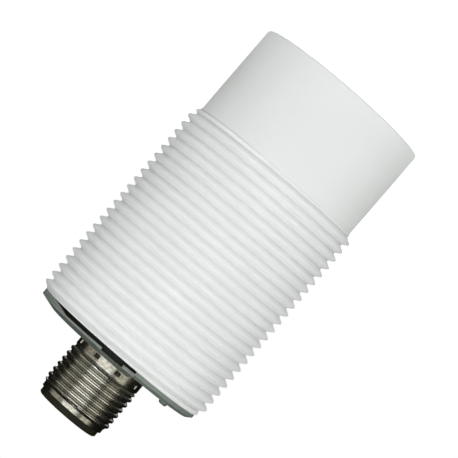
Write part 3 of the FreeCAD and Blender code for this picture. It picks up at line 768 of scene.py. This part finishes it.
def finish_mesh(name: str, mesh: Mesh, sharp_over: float = SHARP) -> Piece:
    """Closes a mesh into an object in the scene, smooth but for its sharp edges.

    Args:
        name: The piece's name.
        mesh: The mesh, which is freed.
        sharp_over: Edges that turn more than this stay sharp.

    Returns:
        The object, at the origin.
    """
    data = bpy.data.meshes.new(name)
    mesh.to_mesh(data)
    mesh.free()
    data.shade_smooth()
    data.set_sharp_from_angle(angle=sharp_over)
    piece = bpy.data.objects.new(name, data)
    bpy.context.scene.collection.objects.link(piece)
    return piece


def copy_of_node(frame: dict, node: str) -> Mesh:
    """A node's mesh as one welded bmesh, with its flat faces joined.

    Args:
        node: The node's name.

    Returns:
        The bmesh.
    """
    mesh = bmesh.new()
    mesh.from_mesh(frame["nodes"][node].data)
    bmesh.ops.remove_doubles(mesh, verts=mesh.verts, dist=WELD)
    bmesh.ops.dissolve_limit(
        mesh, angle_limit=FLAT, verts=mesh.verts, edges=mesh.edges, delimit={"NORMAL"}
    )
    return mesh


# Threads


@dataclass(frozen=True)
class Thread:
    """A right-handed metric thread about Z, cut off square, with a lead cone at each end."""

    crest_radius: float
    pitch: float
    steps: int
    # Shares of the pitch
    crest_share: float
    root_share: float
    softness: float
    depth_share: float = 0.6134
    arc_steps: int = 2
    lead_angle: float = math.radians(45.0)
    # A vertex nearer to a cut than this share of one step's rise moves onto it
    snap_share: float = 0.49

    @property
    def root_radius(self) -> float:
        """The radius at the bottom of the groove."""
        return self.crest_radius - self.pitch * self.depth_share

    def section(self, low: float) -> list[Point]:
        """One pitch of the thread, from the middle of a root to the middle of the next.

        Args:
            low: The height of the first root's middle.

        Returns:
            Radius and height pairs.
        """
        half = self.pitch / 2.0
        root = self.pitch * self.root_share / 2.0
        crest = self.pitch * self.crest_share / 2.0
        corners = [
            (self.root_radius, low),
            (self.root_radius, low + root),
            (self.crest_radius, low + half - crest),
            (self.crest_radius, low + half + crest),
            (self.root_radius, low + self.pitch - root),
            (self.root_radius, low + self.pitch),
        ]
        soft = self.softness * self.pitch
        return soften(corners, {1: soft, 2: soft, 3: soft, 4: soft}, self.arc_steps)

    def build(self, start: float, end: float, crest_at: float) -> Mesh:
        """Winds the thread, cuts its lead cones and trims it to its planes.

        Args:
            start: The height of its low plane.
            end: The height of its high plane.
            crest_at: The height of a crest on +X.

        Returns:
            The thread as an open mesh.
        """
        mesh = bmesh.new()
        # One turn more than the length needs at either end
        turns = math.ceil((end - start) / self.pitch) + 2
        lowest = crest_at - self.pitch / 2.0
        while lowest > start - self.pitch:
            lowest -= self.pitch
        bmesh.ops.spin(
            mesh,
            geom=draw(mesh, self.section(lowest)),
            dvec=AXIS_Z * (self.pitch / self.steps),
            cent=ORIGIN, axis=AXIS_Z, angle=FULL_TURN, steps=self.steps,
        )
        first_turn = mesh.verts[:] + mesh.edges[:] + mesh.faces[:]
        for turn in range(1, turns):
            copy = bmesh.ops.duplicate(mesh, geom=first_turn)
            raised = [item for item in copy["geom"] if isinstance(item, bmesh.types.BMVert)]
            bmesh.ops.translate(mesh, verts=raised, vec=AXIS_Z * (self.pitch * turn))
        bmesh.ops.remove_doubles(mesh, verts=mesh.verts, dist=WELD)
        self.cut_leads(mesh, start, end)
        for height, outward in ((start, -1.0), (end, 1.0)):
            bmesh.ops.bisect_plane(
                mesh,
                geom=mesh.verts[:] + mesh.edges[:] + mesh.faces[:],
                dist=self.snap_share * self.pitch / self.steps,
                plane_co=(0.0, 0.0, height), plane_no=(0.0, 0.0, outward),
                use_snap_center=True, clear_outer=True,
            )
        return mesh

    def cut_leads(self, mesh: Mesh, start: float, end: float) -> None:
        """Draws in what stands outside the lead cone at either end.

        Args:
            mesh: The wound thread.
            start: The height of its low plane.
            end: The height of its high plane.
        """
        slope = 1.0 / math.tan(self.lead_angle)
        for vertex in mesh.verts:
            inset = min(vertex.co.z - start, end - vertex.co.z)
            limit = self.root_radius + max(0.0, inset) * slope
            radius = vertex.co.xy.length
            if radius > limit:
                vertex.co.xy *= limit / radius


# Sub-assemblies


@dataclass
class SubAssembly:
    """A group of the sensor's pieces that is built and dressed together."""

    frame: dict
    wardrobe: Wardrobe
    # The body that the group's own pieces ride on
    body: str = SENSOR_BODY
    # Nodes whose own mesh stays
    carried: tuple[str, ...] = ()

    def build(self) -> list[Piece]:
        """Makes the group's own pieces and dresses the nodes that it carries.

        Returns:
            The pieces.
        """
        return self.make_pieces() + [self.carry(node) for node in self.carried]

    def make_pieces(self) -> list[Piece]:
        """The group's own pieces, none unless a group has some."""
        return []

    def slot_of(self, node: str) -> str:
        """The material slot that the record gives a node."""
        rows = self.frame["record"]["subparts"]
        return next(row["material_slot"] for row in rows if row["node"] == node)

    def carry(self, node: str) -> Piece:
        """Dresses a node whose own mesh stays.

        Args:
            node: The node's name.

        Returns:
            The node's object.
        """
        piece = self.frame["nodes"][node]
        self.wardrobe.dress(piece, self.slot_of(node))
        return piece

    def place(self, piece: Piece, node: str) -> Piece:
        """Dresses a new piece and puts it in a node's place.

        Args:
            piece: The piece.
            node: The node that it stands for.

        Returns:
            The piece.
        """
        slot = self.slot_of(node)
        self.wardrobe.dress(piece, slot)
        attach(piece, self.body)
        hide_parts(node)
        return piece

    def ease(self, node: str, name: str, width: float) -> Piece:
        """Makes a copy of a node with its sharp edges rounded.

        Args:
            node: The node to copy.
            name: The piece's name.
            width: How far the rounding reaches from an edge.

        Returns:
            The piece.
        """
        piece = finish_mesh(name, copy_of_node(self.frame, node))
        bevel = piece.modifiers.new("eased_edges", "BEVEL")
        bevel.width = width
        bevel.segments = EASED_STEPS
        bevel.limit_method = "ANGLE"
        bevel.angle_limit = EASED
        bevel.use_clamp_overlap = True
        bevel.harden_normals = True
        return self.place(piece, node)


@dataclass
class Barrel(SubAssembly):
    """The turned white housing: smooth sensing head, threaded barrel, and bore open to the rear."""

    head_radius: float = 14.0 * MM
    head_length: float = 15.0 * MM
    head_edge: float = 0.35 * MM
    # The head widens to the thread's root over this length
    run_out: float = 0.5 * MM
    thread: Thread = Thread(
        crest_radius=15.0 * MM, pitch=1.5 * MM, steps=112,
        crest_share=0.20, root_share=0.12, softness=0.125,
    )
    crest_at: float = 15.24 * MM
    bore_radius: float = 12.2 * MM
    front_wall: float = 1.6 * MM
    seam: float = 0.02 * MM

    def make_pieces(self) -> list[Piece]:
        """Makes the housing.

        Returns:
            The piece.
        """
        low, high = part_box("housing")
        start = self.head_length
        mesh = self.thread.build(start, high.z, self.crest_at)
        rim = self.thread.root_radius - self.seam
        head = [
            (0.0, low.z),
            (self.head_radius, low.z),
            (self.head_radius, start - self.run_out),
            (rim, start),
        ]
        head = soften(head, {1: self.head_edge})
        outside = turned_part(head, self.thread.steps, Side.OUTSIDE)
        graft(mesh, outside, start, start)
        bore = [
            (0.0, self.front_wall),
            (self.bore_radius, self.front_wall),
            (self.bore_radius, high.z),
            (rim, high.z),
        ]
        graft(mesh, turned_part(bore, self.thread.steps, Side.INSIDE), high.z, high.z)
        bmesh.ops.recalc_face_normals(mesh, faces=mesh.faces)
        piece = finish_mesh("barrel_housing", mesh, SHARP_IN_THREADS)
        return [self.place(piece, "housing")]


@dataclass
class RearCap(SubAssembly):
    """The moulded cap with its raised tier, its rubber ring and the indicator's clear rod."""

    carried: tuple[str, ...] = ("cap_gasket", "light_guide")
    edge: float = 0.12 * MM

    def make_pieces(self) -> list[Piece]:
        """Makes the cap."""
        return [self.ease("rear_cap", "moulded_cap", self.edge)]


@dataclass
class PlugConnector(SubAssembly):
    """The nickel sleeve with its thread and pocketed collar, the contact insert and the contacts."""

    carried: tuple[str, ...] = (
        "connector_seal", "contact_board",
        "contact_pin_1", "contact_pin_2", "contact_pin_3", "contact_pin_4",
    )
    thread: Thread = Thread(
        crest_radius=5.9 * MM, pitch=1.0 * MM, steps=108,
        crest_share=0.30, root_share=0.16, softness=0.09, depth_share=0.37,
    )
    collar_radius: float = 5.7 * MM
    collar_length: float = 1.65 * MM
    relief: float = 0.3 * MM
    bore: float = 4.95 * MM
    end_radius: float = 5.45 * MM
    end_band: float = 0.8 * MM
    flange_radius: float = 6.6 * MM
    flange: float = 1.0 * MM
    seal_margin: float = 1.2 * MM
    seal_groove: float = 1.0 * MM
    seal_floor: float = 5.45 * MM
    # Nine pockets round the collar; the columns are flat faces, counted from +X towards +Y
    pocket_inset: float = 0.55 * MM
    pocket_height: float = 0.65 * MM
    pocket_depth: float = 0.3 * MM
    pocket_lead: float = 0.04 * MM
    first_column: int = 62
    pocket_columns: int = 3
    column_period: int = 12
    edge: float = 0.08 * MM
    edge_steps: int = 3
    insert_edge: float = 0.07 * MM
    seam: float = 0.02 * MM

    def make_pieces(self) -> list[Piece]:
        """Makes the sleeve and the insert.

        Returns:
            The pieces.
        """
        insert = self.ease("contact_carrier", "contact_insert", self.insert_edge)
        return [self.make_sleeve(), insert]

    def make_sleeve(self) -> Piece:
        """Makes the threaded sleeve.

        Returns:
            The piece.
        """
        low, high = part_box("connector_sleeve")
        collar_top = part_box("rear_cap")[1].z + self.collar_length
        pocket = collar_top - self.collar_length + self.pocket_inset
        start = collar_top + self.relief / 2.0
        band = high.z - self.end_band
        first_crest = collar_top + self.relief + self.thread.pitch / 2.0
        mesh = self.thread.build(start, band, first_crest)
        foot = start - self.seam
        outline = self.collar_section(low.z, pocket, collar_top, foot)
        collar = turned_part(outline, self.thread.steps, Side.OUTSIDE)
        self.sink_pockets(collar, pocket)
        graft(mesh, collar, start, foot)
        mouth = [
            (self.bore, low.z),
            (self.bore, high.z),
            (self.end_radius, high.z),
            (self.end_radius, band),
            (self.thread.root_radius, band + self.seam),
        ]
        mouth = soften(mouth, {1: self.edge, 2: self.edge}, self.edge_steps)
        inside = turned_part(mouth, self.thread.steps, Side.INSIDE)
        graft(mesh, inside, band, band + self.seam)
        base = [vertex for vertex in mesh.verts if vertex.co.z < low.z + WELD]
        bmesh.ops.remove_doubles(mesh, verts=base, dist=WELD)
        bmesh.ops.recalc_face_normals(mesh, faces=mesh.faces)
        piece = finish_mesh("threaded_sleeve", mesh, SHARP_IN_THREADS)
        return self.place(piece, "connector_sleeve")

    def collar_section(
        self, bottom: float, pocket: float, collar_top: float, foot: float
    ) -> list[Point]:
        """The sleeve's outside from its flange to the foot of the thread.

        Args:
            bottom: The flange's low face.
            pocket: The pockets' low side.
            collar_top: The collar's end.
            foot: The end of the neck under the thread.

        Returns:
            Radius and height pairs.
        """
        shoulder = bottom + self.flange
        seal = shoulder + self.seal_margin
        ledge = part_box("housing")[1].z
        wall = self.thread.crest_radius
        corners = [
            (self.bore, bottom),
            (self.flange_radius, bottom),
            (self.flange_radius, shoulder),
            (wall, shoulder),
            (wall, seal),
            (self.seal_floor, seal),
            (self.seal_floor, seal + self.seal_groove),
            (wall, seal + self.seal_groove),
            (wall, ledge),
            (self.collar_radius, ledge),
            (self.collar_radius, pocket),
            (self.collar_radius, pocket + self.pocket_height),
            (self.collar_radius, collar_top),
            (self.thread.root_radius, collar_top),
            (self.thread.root_radius, foot),
        ]
        # The outward corners of the flange, the groove, the wall and the collar
        outward = (1, 2, 4, 7, 8, 12)
        return soften(corners, {index: self.edge for index in outward}, self.edge_steps)

    def sink_pockets(self, mesh: Mesh, bottom: float) -> None:
        """Presses the pockets into the collar, each with a small lead round its mouth.

        Args:
            mesh: The turned collar.
            bottom: The pockets' low side.
        """
        mesh.normal_update()
        column = FULL_TURN / self.thread.steps
        chosen = []
        for face in mesh.faces:
            middle = face.calc_center_median()
            on_collar = abs(middle.xy.length - self.collar_radius) < TOUCH
            if on_collar and bottom < middle.z < bottom + self.pocket_height:
                turn = math.atan2(middle.y, middle.x) % FULL_TURN
                place = (int(turn / column) - self.first_column) % self.column_period
                if place < self.pocket_columns:
                    chosen.append(face)
        faces_out = chosen[0].normal.dot(chosen[0].calc_center_median()) > 0.0
        inwards = -1.0 if faces_out else 1.0
        for depth in (self.pocket_lead, self.pocket_depth - self.pocket_lead):
            bmesh.ops.inset_region(
                mesh, faces=chosen, thickness=self.pocket_lead, depth=inwards * depth,
                use_boundary=True, use_even_offset=True,
            )


@dataclass
class Adjuster(SubAssembly):
    """The slotted screw that turns the trimmer, with its O-ring, and the trimmer."""

    body: str = ADJUSTER_BODY
    carried: tuple[str, ...] = ("adjuster_seal", "trimmer_body", "trimmer_rotor")
    edge: float = 0.05 * MM

    def make_pieces(self) -> list[Piece]:
        """Makes the screw."""
        return [self.ease("adjuster_screw", "adjuster_spindle", self.edge)]


@dataclass
class SensingElectrodes(SubAssembly):
    """The copper electrodes behind the sensing face, on their board, and the spacer behind it."""

    carried: tuple[str, ...] = (
        "electrode_disc", "electrode_ring", "electrode_board", "board_spacer"
    )


@dataclass
class Electronics(SubAssembly):
    """The circuit board with its parts, the shield, the indicators and the resin behind them."""

    carried: tuple[str, ...] = (
        "circuit_board", "shield_can", "oscillator_chip", "output_chip", "capacitors", "resistors",
        "output_led", "power_led", "potting_plug",
    )


# Studio


@dataclass(frozen=True)
class Softbox:
    """One upright lamp that fills a range of directions round the sensor, seen from its axis."""

    name: str
    azimuth: float
    span: float
    radiance: float
    reach: Reach = Reach.FILL
    distance: float = 0.42
    foot: float = 0.001
    height: float = 0.30
    colour: Colour = WHITE

    def build(self) -> None:
        """Hangs the lamp."""
        width = 2.0 * self.distance * math.tan(math.radians(self.span) / 2.0)
        lamp = bpy.data.lights.new(self.name, "AREA")
        lamp.shape = "RECTANGLE"
        lamp.size = width
        lamp.size_y = self.height
        lamp.color = self.colour
        lamp.energy = self.radiance * math.pi * width * self.height
        holder = bpy.data.objects.new(self.name, lamp)
        angle = math.radians(self.azimuth)
        outward = Vector((math.sin(angle), -math.cos(angle), 0.0))
        holder.location = outward * self.distance + AXIS_Z * (self.foot + self.height / 2.0)
        holder.rotation_euler = (-outward).to_track_quat("-Z", "Y").to_euler()
        holder.visible_camera = False
        holder.visible_glossy = self.reach is Reach.REFLECTIONS
        holder.visible_diffuse = self.reach is Reach.FILL
        bpy.context.scene.collection.objects.link(holder)


@dataclass
class Studio:
    """White floor and surround, softboxes, a dark curtain and a card to mirror, and the camera."""

    floor_radius: float = 3.0
    floor_steps: int = 64
    # Radius and height pairs, from the curtain's foot round the sensor to its open top
    curtain: Sequence[Point] = ((0.03, 0.001), (0.75, 0.001), (0.75, 0.90), (0.10, 1.20))
    curtain_steps: int = 96
    cloth_colour: Colour = (0.006, 0.0055, 0.004)
    # A white card on the cloth behind the sensor: width, depth, and the place of its middle
    card_size: Point = (0.14, 0.33)
    card_at: Triple = (0.0, 0.285, 0.002)
    image_size: int = 458
    scale_px_per_m: float = 6915.0
    camera_distance: float = 0.327
    camera_height: float = 0.0315
    camera_clip: Point = (0.01, 20.0)
    sensor_width: float = 36.0
    # The picture's middle in the plane through the sensor's axis
    look_x: float = -0.32 * MM
    look_z: float = 25.5 * MM
    axis_lean: float = 49.25
    # Azimuths are degrees from the front, positive towards +X
    softboxes: Sequence[Softbox] = (
        Softbox("key", 6.0, 58.0, 1.75, Reach.REFLECTIONS),
        Softbox("left_strip", 66.0, 44.0, 0.50, Reach.REFLECTIONS, colour=WARM),
        Softbox("right_strip", -56.0, 36.0, 0.95, Reach.REFLECTIONS, colour=WARM),
        Softbox("front_fill", 0.0, 60.0, 1.5),
        Softbox("low_front", 0.0, 70.0, 5.6, height=0.10),
        Softbox("left_fill", 80.0, 50.0, 1.0),
        Softbox("right_fill", -80.0, 50.0, 1.45),
        Softbox("back_left", 132.0, 40.0, 0.3, colour=WARM),
        Softbox("back_right", -132.0, 40.0, 0.7, colour=WARM),
        Softbox("rear_fill", 180.0, 60.0, 1.8),
        Softbox("rear_key", 180.0, 40.0, 1.3, Reach.REFLECTIONS),
    )
    world_strength: float = 0.17
    # The floor's own light on the sensor, and what the camera sees of it near the sensor and far off
    floor_fill: float = 0.04
    floor_near: float = 0.87
    floor_far: float = 1.0
    floor_fade: Point = (0.10, 0.45)
    # The share of light that the floor gives back: what the camera sees, and what lights the sensor
    floor_shade: float = 0.30
    paper_white: float = 0.80

    def build(self) -> None:
        """Sets up the whole studio."""
        self.build_world()
        self.build_floor()
        self.build_curtain()
        self.build_card()
        for softbox in self.softboxes:
            softbox.build()
        self.build_camera()

    def build_curtain(self) -> None:
        """A dark bowl behind the lamps, so that bright metal has something dark to mirror."""
        mesh = turned_part(self.curtain, self.curtain_steps, Side.INSIDE)
        self.hang(finish_mesh("curtain", mesh), "dark_cloth", self.cloth_colour)

    def build_card(self) -> None:
        """A white card on the cloth, for the back of the metal to mirror."""
        mesh = bmesh.new()
        place = Matrix.Translation(self.card_at) @ Matrix.Diagonal((*self.card_size, 1.0, 1.0))
        bmesh.ops.create_grid(mesh, x_segments=1, y_segments=1, size=0.5, matrix=place)
        self.hang(finish_mesh("card", mesh), "white_card", WHITE)

    @staticmethod
    def hang(piece: Piece, name: str, colour: Colour) -> None:
        """Makes a piece of the studio that only reflections see, of one plain colour.

        Args:
            piece: The piece.
            name: The name of its material.
            colour: Red, green and blue.
        """
        board = NodeBoard.of_material(name)
        board.show(board.glow(colour=colour))
        piece.data.materials.append(board.owner)
        for rays in ("camera", "diffuse", "transmission", "volume_scatter", "shadow"):
            setattr(piece, f"visible_{rays}", False)

    def build_world(self) -> None:
        """A white surround for the camera, glass and metal, and a dimmer fill for the rest."""
        world = bpy.data.worlds.new("surround")
        bpy.context.scene.world = world
        board = NodeBoard(world, "ShaderNodeOutputWorld")
        strength = board.spread(board.seen_directly(), self.world_strength, 1.0, 0.0, 1.0)
        light = board.add("ShaderNodeBackground", {"Color": WHITE, "Strength": strength})
        board.show(light.outputs["Background"])

    def build_floor(self) -> None:
        """A round white floor under the sensing face."""
        mesh = bmesh.new()
        bmesh.ops.create_circle(
            mesh, cap_ends=True, segments=self.floor_steps, radius=self.floor_radius
        )
        floor = finish_mesh("floor", mesh)
        board = NodeBoard.of_material("white_floor")
        fade = board.spread(board.from_axis(), self.floor_near, self.floor_far, *self.floor_fade)
        papers = {
            "Fac": board.seen_directly(),
            1: self.glowing_paper(board, self.paper_white, self.floor_fill),
            2: self.glowing_paper(board, self.floor_shade, fade),
        }
        board.show(board.add("ShaderNodeMixShader", papers).outputs["Shader"])
        floor.data.materials.append(board.owner)

    @staticmethod
    def glowing_paper(board: NodeBoard, whiteness: float, glow: Socket | float) -> Socket:
        """White paper that takes light and shadow, and also glows.

        Args:
            board: The material's board.
            whiteness: The share of light that it gives back.
            glow: Its own radiance, plain or linked.

        Returns:
            The shader's socket.
        """
        paper = board.add("ShaderNodeBsdfDiffuse", {"Color": (whiteness, whiteness, whiteness)})
        both = {0: paper.outputs["BSDF"], 1: board.glow(glow)}
        return board.add("ShaderNodeAddShader", both).outputs["Shader"]

    def build_camera(self) -> None:
        """The camera at the photograph's angle: level, square to the axis, and rolled."""
        data = bpy.data.cameras.new("camera")
        data.sensor_width = self.sensor_width
        focal_px = self.scale_px_per_m * self.camera_distance
        data.lens = focal_px * self.sensor_width / self.image_size
        data.clip_start, data.clip_end = self.camera_clip
        camera = bpy.data.objects.new("camera", data)
        place = Vector((self.look_x, -self.camera_distance, self.camera_height))
        target = Vector((self.look_x, 0.0, self.look_z))
        back = (place - target).normalized()
        lean = math.radians(self.axis_lean)
        up = Vector((math.cos(lean), 0.0, -math.sin(lean)))
        right = up.cross(back).normalized()
        up = back.cross(right)
        turned = Matrix((right, up, back)).transposed().to_4x4()
        camera.matrix_world = Matrix.Translation(place) @ turned
        bpy.context.scene.collection.objects.link(camera)
        bpy.context.scene.camera = camera


def report(pieces: Iterable[Piece]) -> None:
    """Logs each piece with its count of faces."""
    for piece in pieces:
        LOG.info("%s: %d faces", piece.name, len(piece.data.polygons))


def main() -> None:
    """Builds the studio and every piece of the sensor."""
    logging.basicConfig(level=logging.INFO, format="%(name)s: %(message)s")
    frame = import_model()
    wardrobe = Wardrobe()
    Studio().build()
    for group in (Barrel, RearCap, PlugConnector, Adjuster, SensingElectrodes, Electronics):
        report(group(frame, wardrobe).build())
    bpy.context.scene.view_settings.view_transform = "Standard"


if __name__ == "__main__":
    main()
